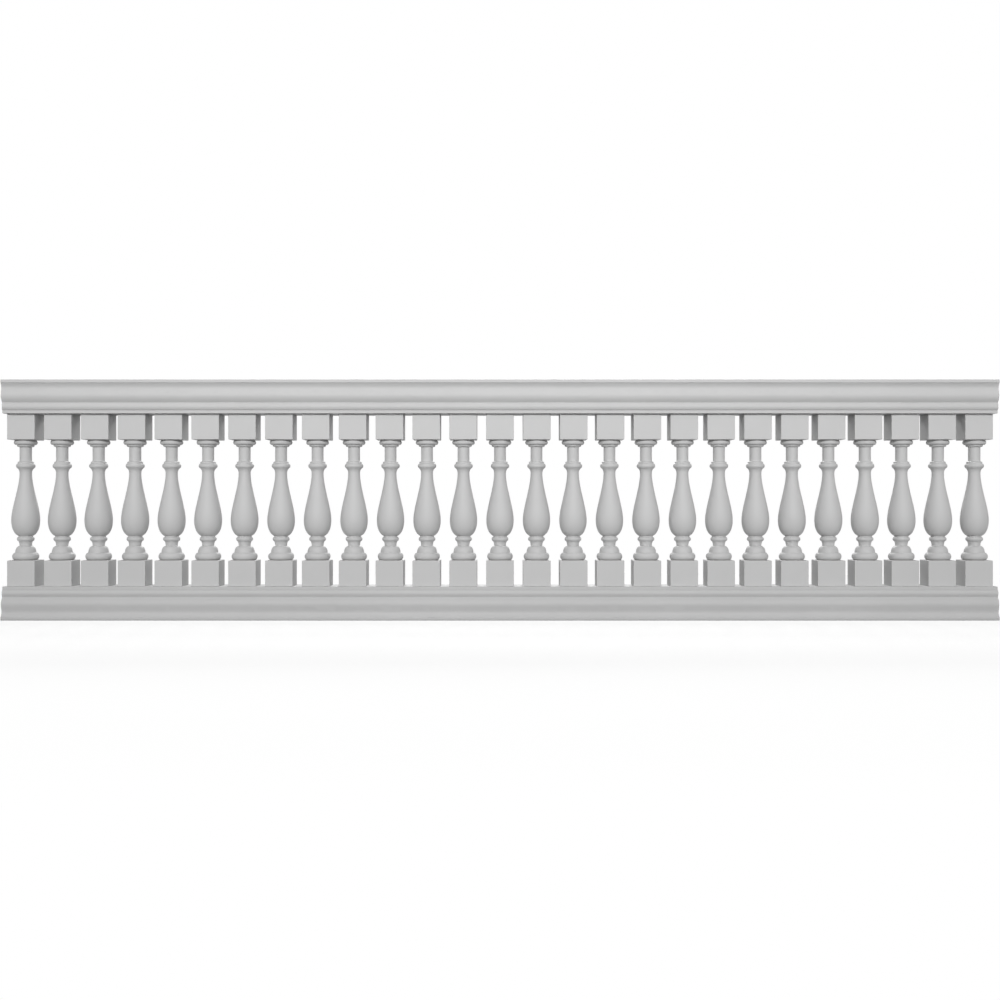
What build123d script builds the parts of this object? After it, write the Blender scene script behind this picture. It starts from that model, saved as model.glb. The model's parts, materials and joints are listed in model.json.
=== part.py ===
from build123d import *
import math
import os

# One section of a moulded fibreglass balustrade: a bottom rail on the ground, a row of turned
# balusters standing on it, and a top rail of the same moulding turned the other way up.
# A steel pipe runs through each baluster and plugs into a blind hole in each rail.
# Frame: origin on the ground under the middle of the bottom rail, X along the rails, Z up.
# All sizes are in millimetres.

# The row
baluster_count = 27
baluster_gap = 34.0
end_margin = 10.0

# Square blocks at the head and foot of a baluster
block_width = 102.0
block_height = 95.0
block_arris = 2.0

# Turned part of a baluster, from the foot block up
base_roll_height = 27.5
base_roll_edge_diameter = 80.0
base_roll_swell = 7.8
bell_height = 25.0
bell_diameter = 74.6
waist_height = 17.5
waist_diameter = 44.0
ring_height = 16.5
ring_edge_diameter = 51.0
ring_swell = 5.8
ring_quirk_height = 3.0
vase_bowl_height = 59.0
vase_shoulder_height = 175.0
vase_diameter = 102.0
vase_bowl_pull = (1.0, 1.1)
vase_shoulder_pull = (0.8, 0.9)
neck_diameter = 44.0
collar_cove_height = 18.0
collar_edge_diameter = 58.0
collar_roll_height = 18.0
collar_swell = 5.5
collar_fillet_height = 5.5
collar_fillet_diameter = 57.0
collar_flare_height = 7.0
neck_height = 48.5
cap_quarter_height = 6.0
cap_fillet_height = 2.5
cap_fillet_diameter = 62.0
cap_roll_height = 15.0
cap_roll_edge_diameter = 73.0
cap_roll_swell = 5.5
cap_top_height = 3.0
cap_top_diameter = 78.0

# Steel pipe through each baluster
pipe_diameter = 24.0
pipe_wall = 3.0
pipe_reach = 34.0
pipe_fit = 0.25
pipe_end_gap = 2.0

# Rail moulding, from the face that meets the balusters outwards
rail_width = 179.0
rail_base_height = 12.5
rail_base_inset = 20.0
rail_bead_height = 23.5
rail_bead_inset = 13.0
rail_bead_step = 18.0
rail_quirk_height = 4.0
rail_quirk_inset = 17.0
rail_roll_under_height = 27.0
rail_roll_over_height = 22.0
rail_roll_inset = 5.2
rail_cove_height = 22.0
rail_cove_inset = 10.1
rail_band_height = 12.0
rail_band_return = 2.0
rail_outer_round = 4.0
rail_edge_round = 1.5

# Sizes that follow from these
baluster_pitch = block_width + baluster_gap
row_length = (baluster_count - 1) * baluster_pitch
rail_length = row_length + block_width + 2 * end_margin
rail_height = (
    rail_base_height
    + rail_bead_height
    + rail_quirk_height
    + rail_roll_under_height
    + rail_roll_over_height
    + rail_cove_height
    + rail_band_height
)
turned_height = (
    base_roll_height
    + bell_height
    + waist_height
    + ring_height
    + ring_quirk_height
    + vase_bowl_height
    + vase_shoulder_height
    + collar_cove_height
    + collar_roll_height
    + collar_fillet_height
    + collar_flare_height
    + neck_height
    + cap_quarter_height
    + cap_fillet_height
    + cap_roll_height
    + cap_top_height
)
baluster_height = turned_height + 2 * block_height
pipe_length = baluster_height + 2 * pipe_reach
baluster_foot = rail_height
baluster_head = baluster_foot + baluster_height
hole_radius = pipe_diameter / 2 + pipe_fit
baluster_places = [index * baluster_pitch - row_length / 2 for index in range(baluster_count)]


def rail_moulding():
    """Half outline of the rail, from the middle of the baluster face out and round to the middle
    of the plain face, as a closed and mirrored sketch on XY with the baluster face on the X axis."""
    half = rail_width / 2
    base_top = rail_base_height
    bead_top = base_top + rail_bead_height
    quirk_top = bead_top + rail_quirk_height
    roll_widest = quirk_top + rail_roll_under_height
    roll_top = roll_widest + rail_roll_over_height
    cove_top = roll_top + rail_cove_height
    with BuildSketch() as moulding:
        with BuildLine():
            Polyline(
                (0, 0),
                (half - rail_base_inset, 0),
                (half - rail_base_inset, base_top),
                (half - rail_bead_step, base_top),
            )
            ThreePointArc(
                (half - rail_bead_step, base_top),
                (half - rail_bead_inset, base_top + rail_bead_height / 2),
                (half - rail_quirk_inset, bead_top),
            )
            Line((half - rail_quirk_inset, bead_top), (half - rail_quirk_inset, quirk_top))
            Spline(
                (half - rail_quirk_inset, quirk_top),
                (half - rail_roll_inset, roll_widest),
                (half - rail_cove_inset, roll_top),
                (half - rail_band_return, cove_top),
                tangents=((1, 1), (0.8, 1)),
            )
            Polyline(
                (half - rail_band_return, cove_top),
                (half, cove_top),
                (half, rail_height),
                (0, rail_height),
            )
            mirror(about=Plane.YZ)
        make_face()
        band_corners = moulding.vertices().group_by(Axis.X)[0] + moulding.vertices().group_by(Axis.X)[-1]
        ledge_corners = band_corners.sort_by(Axis.Y)[:2]
        base_corners = moulding.vertices().group_by(Axis.Y)[0]
        fillet(ledge_corners + base_corners, rail_edge_round)
        fillet(moulding.vertices().group_by(Axis.Y)[-1], rail_outer_round)
    return moulding.sketch


def turned_outline():
    """Half outline of the turned part on XY, standing on the X axis, with its mouldings in order
    up the Y axis: base roll, bell, waist, ring, vase, collar, neck and cap."""
    bell_foot = base_roll_height
    waist_foot = bell_foot + bell_height
    ring_foot = waist_foot + waist_height
    ring_top = ring_foot + ring_height
    vase_foot = ring_top + ring_quirk_height
    vase_widest = vase_foot + vase_bowl_height
    vase_top = vase_widest + vase_shoulder_height
    collar_foot = vase_top + collar_cove_height
    collar_top = collar_foot + collar_roll_height
    flare_foot = collar_top + collar_fillet_height
    neck_foot = flare_foot + collar_flare_height
    neck_top = neck_foot + neck_height
    cap_fillet_foot = neck_top + cap_quarter_height
    cap_roll_foot = cap_fillet_foot + cap_fillet_height
    cap_roll_top = cap_roll_foot + cap_roll_height
    base_edge = base_roll_edge_diameter / 2
    bell = bell_diameter / 2
    waist = waist_diameter / 2
    ring_edge = ring_edge_diameter / 2
    vase = vase_diameter / 2
    neck = neck_diameter / 2
    collar_edge = collar_edge_diameter / 2
    collar_fillet = collar_fillet_diameter / 2
    cap_fillet = cap_fillet_diameter / 2
    cap_edge = cap_roll_edge_diameter / 2
    cap_top = cap_top_diameter / 2
    with BuildSketch() as outline:
        with BuildLine():
            Line((0, 0), (base_edge, 0))
            ThreePointArc(
                (base_edge, 0),
                (base_edge + base_roll_swell, bell_foot / 2),
                (base_edge, bell_foot),
            )
            Line((base_edge, bell_foot), (bell, bell_foot))
            EllipticalCenterArc((waist, bell_foot), bell - waist, bell_height, arc_size=90)
            Spline((waist, waist_foot), (ring_edge, ring_foot), tangents=((0, 1), (1, 1.6)))
            ThreePointArc(
                (ring_edge, ring_foot),
                (ring_edge + ring_swell, ring_foot + ring_height / 2),
                (ring_edge, ring_top),
            )
            Line((ring_edge, ring_top), (ring_edge, vase_foot))
            Spline(
                (ring_edge, vase_foot),
                (vase, vase_widest),
                tangents=((1, 0.5), (0, 1)),
                tangent_scalars=vase_bowl_pull,
            )
            Spline(
                (vase, vase_widest),
                (neck, vase_top),
                tangents=((0, 1), (0, 1)),
                tangent_scalars=vase_shoulder_pull,
            )
            Spline((neck, vase_top), (collar_edge, collar_foot), tangents=((0, 1), (1, 1)))
            ThreePointArc(
                (collar_edge, collar_foot),
                (collar_edge + collar_swell, collar_foot + collar_roll_height / 2),
                (collar_fillet, collar_top),
            )
            Line((collar_fillet, collar_top), (collar_fillet, flare_foot))
            Spline((collar_fillet, flare_foot), (neck, neck_foot), tangents=((-1, 0.2), (0, 1)))
            Line((neck, neck_foot), (neck, neck_top))
            Spline((neck, neck_top), (cap_fillet, cap_fillet_foot), tangents=((1, 0.1), (0, 1)))
            Polyline((cap_fillet, cap_fillet_foot), (cap_fillet, cap_roll_foot), (cap_edge, cap_roll_foot))
            ThreePointArc(
                (cap_edge, cap_roll_foot),
                (cap_edge + cap_roll_swell, cap_roll_foot + cap_roll_height / 2),
                (cap_top, cap_roll_top),
            )
            Polyline((cap_top, cap_roll_top), (cap_top, turned_height), (0, turned_height), (0, 0))
        make_face()
    return outline.sketch


os.makedirs("parts", exist_ok=True)

moulding = rail_moulding()

# Bottom rail: plain face on the ground, with a hole for the foot of each pipe
with BuildPart() as bottom_rail:
    with BuildSketch(Plane(origin=(0, 0, baluster_foot), x_dir=(0, 1, 0), z_dir=(-1, 0, 0))):
        add(moulding)
    extrude(amount=rail_length / 2, both=True)
    with BuildSketch(Plane.XY.offset(baluster_foot)):
        with Locations([(x, 0) for x in baluster_places]):
            Circle(hole_radius)
    extrude(amount=-pipe_reach, mode=Mode.SUBTRACT)
bottom_rail.part.label = "bottom_rail"
export_step(bottom_rail.part, "parts/bottom_rail.step")

# Top rail: the same moulding with its plain face up, and holes a little deeper than the pipes reach
with BuildPart() as top_rail:
    with BuildSketch(Plane(origin=(0, 0, baluster_head), x_dir=(0, 1, 0), z_dir=(1, 0, 0))):
        add(moulding)
    extrude(amount=rail_length / 2, both=True)
    with BuildSketch(Plane.XY.offset(baluster_head)):
        with Locations([(x, 0) for x in baluster_places]):
            Circle(hole_radius)
    extrude(amount=pipe_reach + pipe_end_gap, mode=Mode.SUBTRACT)
top_rail.part.label = "top_rail"
export_step(top_rail.part, "parts/top_rail.step")

# One block, with every arris eased
with BuildPart() as block:
    Box(block_width, block_width, block_height, align=(Align.CENTER, Align.CENTER, Align.MIN))
    fillet(block.edges(), block_arris)

# One baluster at the origin, bored from end to end for its pipe
with BuildPart() as pattern:
    add(block.part)
    with Locations((0, 0, block_height + turned_height)):
        add(block.part)
    with BuildSketch(Plane(origin=(0, 0, block_height), x_dir=(1, 0, 0), z_dir=(0, -1, 0))):
        add(turned_outline())
    revolve(axis=Axis.Z)
    with Locations((0, 0, baluster_height)):
        Hole(hole_radius, depth=baluster_height)

# The row, numbered from the left
for number, place in enumerate(baluster_places, start=1):
    with BuildPart() as baluster:
        with Locations((place, 0, baluster_foot)):
            add(pattern.part)
    name = f"baluster_{number:02d}"
    baluster.part.label = name
    export_step(baluster.part, f"parts/{name}.step")

# The pipes, in three groups of like solids along the row
sides = ("left", "middle", "right")
group_size = math.ceil(baluster_count / len(sides))
for group, side in enumerate(sides):
    group_places = baluster_places[group * group_size : (group + 1) * group_size]
    with BuildPart() as pipes:
        with BuildSketch(Plane.XY.offset(baluster_foot - pipe_reach)):
            with Locations([(x, 0) for x in group_places]):
                Circle(pipe_diameter / 2)
                Circle(pipe_diameter / 2 - pipe_wall, mode=Mode.SUBTRACT)
        extrude(amount=pipe_length)
    name = f"pipes_{side}"
    pipes.part.label = name
    export_step(pipes.part, f"parts/{name}.step")
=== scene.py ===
"""Finishes, studio and camera for one section of a moulded glass fibre balustrade.

The rails, balusters and pipes come packed at their real size and place. This script gives them their
finishes, sets them on a pale floor under soft studio light, and looks at them as the photograph does.
All lengths are in metres unless a name says otherwise.
"""

import json
import math

import bpy
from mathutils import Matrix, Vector


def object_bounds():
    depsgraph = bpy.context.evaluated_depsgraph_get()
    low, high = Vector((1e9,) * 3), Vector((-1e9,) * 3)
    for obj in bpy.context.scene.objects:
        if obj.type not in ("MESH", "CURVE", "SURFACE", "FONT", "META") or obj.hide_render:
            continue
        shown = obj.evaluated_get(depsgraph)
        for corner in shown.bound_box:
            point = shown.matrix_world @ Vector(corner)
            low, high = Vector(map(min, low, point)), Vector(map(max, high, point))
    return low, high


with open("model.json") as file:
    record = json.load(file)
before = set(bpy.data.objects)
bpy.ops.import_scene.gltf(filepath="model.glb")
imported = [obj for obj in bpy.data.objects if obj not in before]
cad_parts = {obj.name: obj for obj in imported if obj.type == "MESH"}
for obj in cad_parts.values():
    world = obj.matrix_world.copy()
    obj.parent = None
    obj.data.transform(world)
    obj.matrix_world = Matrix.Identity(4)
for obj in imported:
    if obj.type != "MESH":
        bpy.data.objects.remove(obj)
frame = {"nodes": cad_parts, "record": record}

CAD_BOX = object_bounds()

# Camera: level, straight in front, with the photograph's frame of 1000 pixels
PHOTO_WIDTH_PX = 1000
FOCAL_LENGTH_PX = 1300
SENSOR_WIDTH_MM = 36.0
CAMERA_DISTANCE = 4.847

# Light: even ambient light all round, and two softboxes. The wide one in front aims over the top rail,
# so that the section is brightest along the top. The one behind hangs high, so that little of its light
# comes through the gaps
AMBIENT = 0.38
SOFTBOX_HEIGHT = 1.4
SOFTBOX_SPREAD_DEGREES = 64
KEY_LIGHT = {"place": (0, -7.0, 3.0), "aim": (0, 0, 1.9), "width": 7.5, "power": 81.0}
BACK_LIGHT = {"place": (0, 5.5, 4.0), "aim": (0, 0, 0.4), "width": 3.5, "power": 36.0}

# Floor: nearly white near the section, where its shadow shows, and fully white past the shadow's reach,
# an oval twice as long along the section as across it
FLOOR_SIZE = 60.0
FLOOR_GLOW = 0.73
FADE_SHAPE = (0.5, 1.0, 1.0)
FADE_START = 1.1
FADE_END = 3.0

# Colours, as sRGB hex. A gel coat drifts at random between its base and its shade tone, and deep in its
# grooves is darkened toward a grey as painted shade
RAIL_COAT = {"base": "D0D0D0", "shade": "C7C7C7", "painted_groove_shade": "989796"}
BALUSTER_COAT = {"base": "D3D3D3", "shade": "CBCBCB", "painted_groove_shade": "BCBBBA"}
ZINC = "9A9C9E"
ZINC_DARK = "7F8285"
FLOOR_GREY = "A8A8A8"
WHITE = "FFFFFF"

# Soft patterns in a gel coat: the real size of a patch in millimetres, and its levels of detail
COAT_PATTERNS = {
    "tone": (260.0, 3.0),
    "handling": (35.0, 2.0),
    "laminate_wave": (120.0, 1.0),
    "orange_peel": (3.0, 1.0),
}

# Relief of a gel coat: its strength, and its height in millimetres
LAMINATE_WAVE_RELIEF = (0.05, 1.0)
ORANGE_PEEL_RELIEF = (0.5, 0.4)
PARTING_LINE_RELIEF = (0.6, 0.3)
PARTING_LINE_MM = 0.8

# Shine: a gel coat is a little smoother where it was handled
COAT_ROUGHNESS = (0.5, 0.62)
COAT_IOR = 1.5
ZINC_ROUGHNESS = 0.5
SPANGLE_MM = 4.0

# Painted shade in the grooves: how far round a point is looked, and the open shares of that view at which
# the painted shade is fullest and at which there is none
GROOVE_REACH_MM = 10.0
GROOVE_SAMPLES = 8
FULL_SHADE_SHARE = 0.25
NO_SHADE_SHARE = 0.8

# Sockets of a Mix node set to colours, which has others of the same names
MIX_FACTOR, MIX_START, MIX_END, MIX_COLOUR = 0, 6, 7, 2


def linear(hex_colour):
    """An sRGB hex colour as linear RGBA."""
    channels = [int(hex_colour[i : i + 2], 16) / 255 for i in (0, 2, 4)]
    return [c / 12.92 if c <= 0.04045 else ((c + 0.055) / 1.055) ** 2.4 for c in channels] + [1.0]


def add_node(tree, kind, settings=None, inputs=None):
    """A shader node with its properties set, and its inputs filled by values or by other sockets."""
    node = tree.nodes.new(kind)
    for name, value in (settings or {}).items():
        setattr(node, name, value)
    for key, value in (inputs or {}).items():
        socket = node.inputs[key]
        if isinstance(value, bpy.types.NodeSocket):
            tree.links.new(value, socket)
        else:
            socket.default_value = value
    return node


def new_material(name):
    """An empty node material and its tree."""
    material = bpy.data.materials.new(name)
    material.use_nodes = True
    material.node_tree.nodes.clear()
    return material, material.node_tree


def parting_line(tree, place):
    """1 along the line where the two halves of a baluster's mould met, on its left and right sides."""
    depth = add_node(tree, "ShaderNodeSeparateXYZ", inputs={"Vector": place}).outputs["Y"]
    distance = add_node(tree, "ShaderNodeMath", {"operation": "ABSOLUTE"}, {0: depth}).outputs["Value"]
    ramp = {"Value": distance, "From Max": PARTING_LINE_MM / 1000, "To Min": 1.0, "To Max": 0.0}
    line = add_node(tree, "ShaderNodeMapRange", {"interpolation_type": "SMOOTHSTEP"}, ramp)
    return line.outputs["Result"]


def painted_groove_shade_mask(tree):
    """Painted shade: 0 on open faces, and up to 1 deep in the grooves between the mouldings of one piece.
    """
    settings = {"only_local": True, "samples": GROOVE_SAMPLES}
    reach = {"Distance": GROOVE_REACH_MM / 1000}
    share = add_node(tree, "ShaderNodeAmbientOcclusion", settings, reach).outputs["AO"]
    ramp = {"Value": share, "From Min": FULL_SHADE_SHARE, "From Max": NO_SHADE_SHARE, "To Min": 1.0, "To Max": 0.0}
    return add_node(tree, "ShaderNodeMapRange", inputs=ramp).outputs["Result"]


def gel_coat_material(name, base, shade, painted_groove_shade, two_part_mould=False):
    """Glass fibre moulded in a matt white gel coat: a smooth chalky skin with a trace of orange peel,
    the slow waviness of the laminate under it, a faint drift in tone from one lay-up to the next,
    and patches a little smoother where it was handled. Deep in the grooves the colour is darkened
    toward a grey as painted shade. A two-part mould leaves a fine line down each side."""
    material, tree = new_material(name)
    place = add_node(tree, "ShaderNodeTexCoord").outputs["Object"]
    patterns = {}
    for pattern, (patch_mm, detail) in COAT_PATTERNS.items():
        noise = {"Vector": place, "Scale": 1000 / patch_mm, "Detail": detail}
        patterns[pattern] = add_node(tree, "ShaderNodeTexNoise", inputs=noise).outputs["Fac"]

    colour = linear(base)
    # The tone drifts at random, and then the grooves are darkened toward a grey as painted shade
    for factor, tone in ((patterns["tone"], shade), (painted_groove_shade_mask(tree), painted_groove_shade)):
        mix = {MIX_FACTOR: factor, MIX_START: colour, MIX_END: linear(tone)}
        colour = add_node(tree, "ShaderNodeMix", {"data_type": "RGBA"}, mix).outputs[MIX_COLOUR]

    reliefs = [
        (patterns["laminate_wave"], LAMINATE_WAVE_RELIEF),
        (patterns["orange_peel"], ORANGE_PEEL_RELIEF),
    ]
    if two_part_mould:
        reliefs.append((parting_line(tree, place), PARTING_LINE_RELIEF))
    surface = {}
    for height, (strength, height_mm) in reliefs:
        bump = {"Height": height, "Strength": strength, "Distance": height_mm / 1000, **surface}
        surface = {"Normal": add_node(tree, "ShaderNodeBump", inputs=bump).outputs["Normal"]}

    smooth, rough = COAT_ROUGHNESS
    handled = {"Value": patterns["handling"], "To Min": smooth, "To Max": rough}
    roughness = add_node(tree, "ShaderNodeMapRange", inputs=handled).outputs["Result"]
    skin = {"Base Color": colour, "Roughness": roughness, "IOR": COAT_IOR, **surface}
    shader = add_node(tree, "ShaderNodeBsdfPrincipled", inputs=skin)
    add_node(tree, "ShaderNodeOutputMaterial", inputs={"Surface": shader.outputs["BSDF"]})
    return material


def galvanised_material(name):
    """Hot-dip galvanised steel pipe: dull zinc grey with a soft spangle."""
    material, tree = new_material(name)
    place = add_node(tree, "ShaderNodeTexCoord").outputs["Object"]
    spangle = add_node(tree, "ShaderNodeTexVoronoi", inputs={"Vector": place, "Scale": 1000 / SPANGLE_MM})
    mix = {MIX_FACTOR: spangle.outputs["Distance"], MIX_START: linear(ZINC), MIX_END: linear(ZINC_DARK)}
    colour = add_node(tree, "ShaderNodeMix", {"data_type": "RGBA"}, mix).outputs[MIX_COLOUR]
    zinc = {"Base Color": colour, "Metallic": 1.0, "Roughness": ZINC_ROUGHNESS}
    shader = add_node(tree, "ShaderNodeBsdfPrincipled", inputs=zinc)
    add_node(tree, "ShaderNodeOutputMaterial", inputs={"Surface": shader.outputs["BSDF"]})
    return material


def finish_nodes():
    """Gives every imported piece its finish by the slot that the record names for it."""
    finishes = {
        "gelcoat_rail": gel_coat_material("gel_coat_rail", **RAIL_COAT),
        "gelcoat_baluster": gel_coat_material("gel_coat_baluster", **BALUSTER_COAT, two_part_mould=True),
        "galvanised_pipe": galvanised_material("galvanised_pipe"),
    }
    for part in frame["record"]["subparts"]:
        mesh = frame["nodes"][part["node"]].data
        mesh.materials.clear()
        mesh.materials.append(finishes[part["material_slot"]])


def sees_background(tree):
    """1 for rays from the camera or off gloss and glass, 0 for the rays that light the object."""
    rays = add_node(tree, "ShaderNodeLightPath").outputs
    seen = rays["Is Camera Ray"]
    for kind in ("Is Glossy Ray", "Is Transmission Ray"):
        either = {0: seen, 1: rays[kind]}
        seen = add_node(tree, "ShaderNodeMath", {"operation": "MAXIMUM"}, either).outputs["Value"]
    return seen


def light_world():
    """Even ambient light, with plain white behind the object."""
    world = bpy.data.worlds.new("studio")
    world.use_nodes = True
    bpy.context.scene.world = world
    tree = world.node_tree
    tree.nodes.clear()
    lit = add_node(tree, "ShaderNodeBackground", inputs={"Color": linear(WHITE), "Strength": AMBIENT})
    shown = add_node(tree, "ShaderNodeBackground", inputs={"Color": linear(WHITE), "Strength": 1.0})
    mix = {0: sees_background(tree), 1: lit.outputs["Background"], 2: shown.outputs["Background"]}
    mixed = add_node(tree, "ShaderNodeMixShader", inputs=mix)
    add_node(tree, "ShaderNodeOutputWorld", inputs={"Surface": mixed.outputs["Shader"]})


def floor_fade(tree):
    """0 on the floor near the section, and 1 past the reach of its shadow."""
    place = add_node(tree, "ShaderNodeTexCoord").outputs["Object"]
    oval = add_node(tree, "ShaderNodeVectorMath", {"operation": "MULTIPLY"}, {0: place, 1: FADE_SHAPE})
    radius = add_node(tree, "ShaderNodeVectorMath", {"operation": "LENGTH"}, {0: oval.outputs["Vector"]})
    ramp = {"Value": radius.outputs["Value"], "From Min": FADE_START, "From Max": FADE_END}
    fade = add_node(tree, "ShaderNodeMapRange", {"interpolation_type": "SMOOTHSTEP"}, ramp)
    return fade.outputs["Result"]


def floor_material():
    """A pale matt floor that the camera sees as white, a little darker where the section shades it.
    Past the reach of that shadow it turns to the plain white of the background."""
    material, tree = new_material("floor")
    seen = sees_background(tree)
    product = {"operation": "MULTIPLY"}
    glow = add_node(tree, "ShaderNodeMath", product, {0: seen, 1: FLOOR_GLOW}).outputs["Value"]
    far = add_node(tree, "ShaderNodeMath", product, {0: seen, 1: floor_fade(tree)}).outputs["Value"]
    matt = add_node(tree, "ShaderNodeBsdfDiffuse", inputs={"Color": linear(FLOOR_GREY)})
    lift = add_node(tree, "ShaderNodeEmission", inputs={"Color": linear(WHITE), "Strength": glow})
    both = {0: matt.outputs["BSDF"], 1: lift.outputs["Emission"]}
    pale = add_node(tree, "ShaderNodeAddShader", inputs=both)
    white = add_node(tree, "ShaderNodeEmission", inputs={"Color": linear(WHITE), "Strength": 1.0})
    mix = {0: far, 1: pale.outputs["Shader"], 2: white.outputs["Emission"]}
    mixed = add_node(tree, "ShaderNodeMixShader", inputs=mix)
    add_node(tree, "ShaderNodeOutputMaterial", inputs={"Surface": mixed.outputs["Shader"]})
    return material


def add_floor(level):
    """The floor that the bottom rail rests on."""
    bpy.ops.object.select_all(action="DESELECT")
    bpy.ops.mesh.primitive_plane_add(size=FLOOR_SIZE, location=(0, 0, level))
    floor = bpy.context.object
    floor.name = "floor"
    floor.data.materials.append(floor_material())


def add_softbox(name, place, aim, width, power):
    """A flat softbox at a place, turned to another."""
    lamp = bpy.data.lights.new(name, "AREA")
    lamp.shape = "RECTANGLE"
    lamp.size = width
    lamp.size_y = SOFTBOX_HEIGHT
    lamp.spread = math.radians(SOFTBOX_SPREAD_DEGREES)
    lamp.energy = power
    softbox = bpy.data.objects.new(name, lamp)
    bpy.context.scene.collection.objects.link(softbox)
    softbox.location = place
    softbox.rotation_euler = (Vector(aim) - Vector(place)).to_track_quat("-Z", "Y").to_euler()


def add_camera(height):
    """A level camera straight in front of the middle of the section."""
    lens = bpy.data.cameras.new("camera")
    lens.sensor_width = SENSOR_WIDTH_MM
    lens.lens = SENSOR_WIDTH_MM * FOCAL_LENGTH_PX / PHOTO_WIDTH_PX
    camera = bpy.data.objects.new("camera", lens)
    bpy.context.scene.collection.objects.link(camera)
    camera.location = (0, -CAMERA_DISTANCE, height)
    camera.rotation_euler = (math.radians(90), 0, 0)
    bpy.context.scene.camera = camera


low, high = CAD_BOX
middle = (low[2] + high[2]) / 2

finish_nodes()
light_world()
add_floor(low[2])
add_softbox("key", **KEY_LIGHT)
add_softbox("back_light", **BACK_LIGHT)
add_camera(middle)
bpy.context.scene.view_settings.view_transform = "Standard"
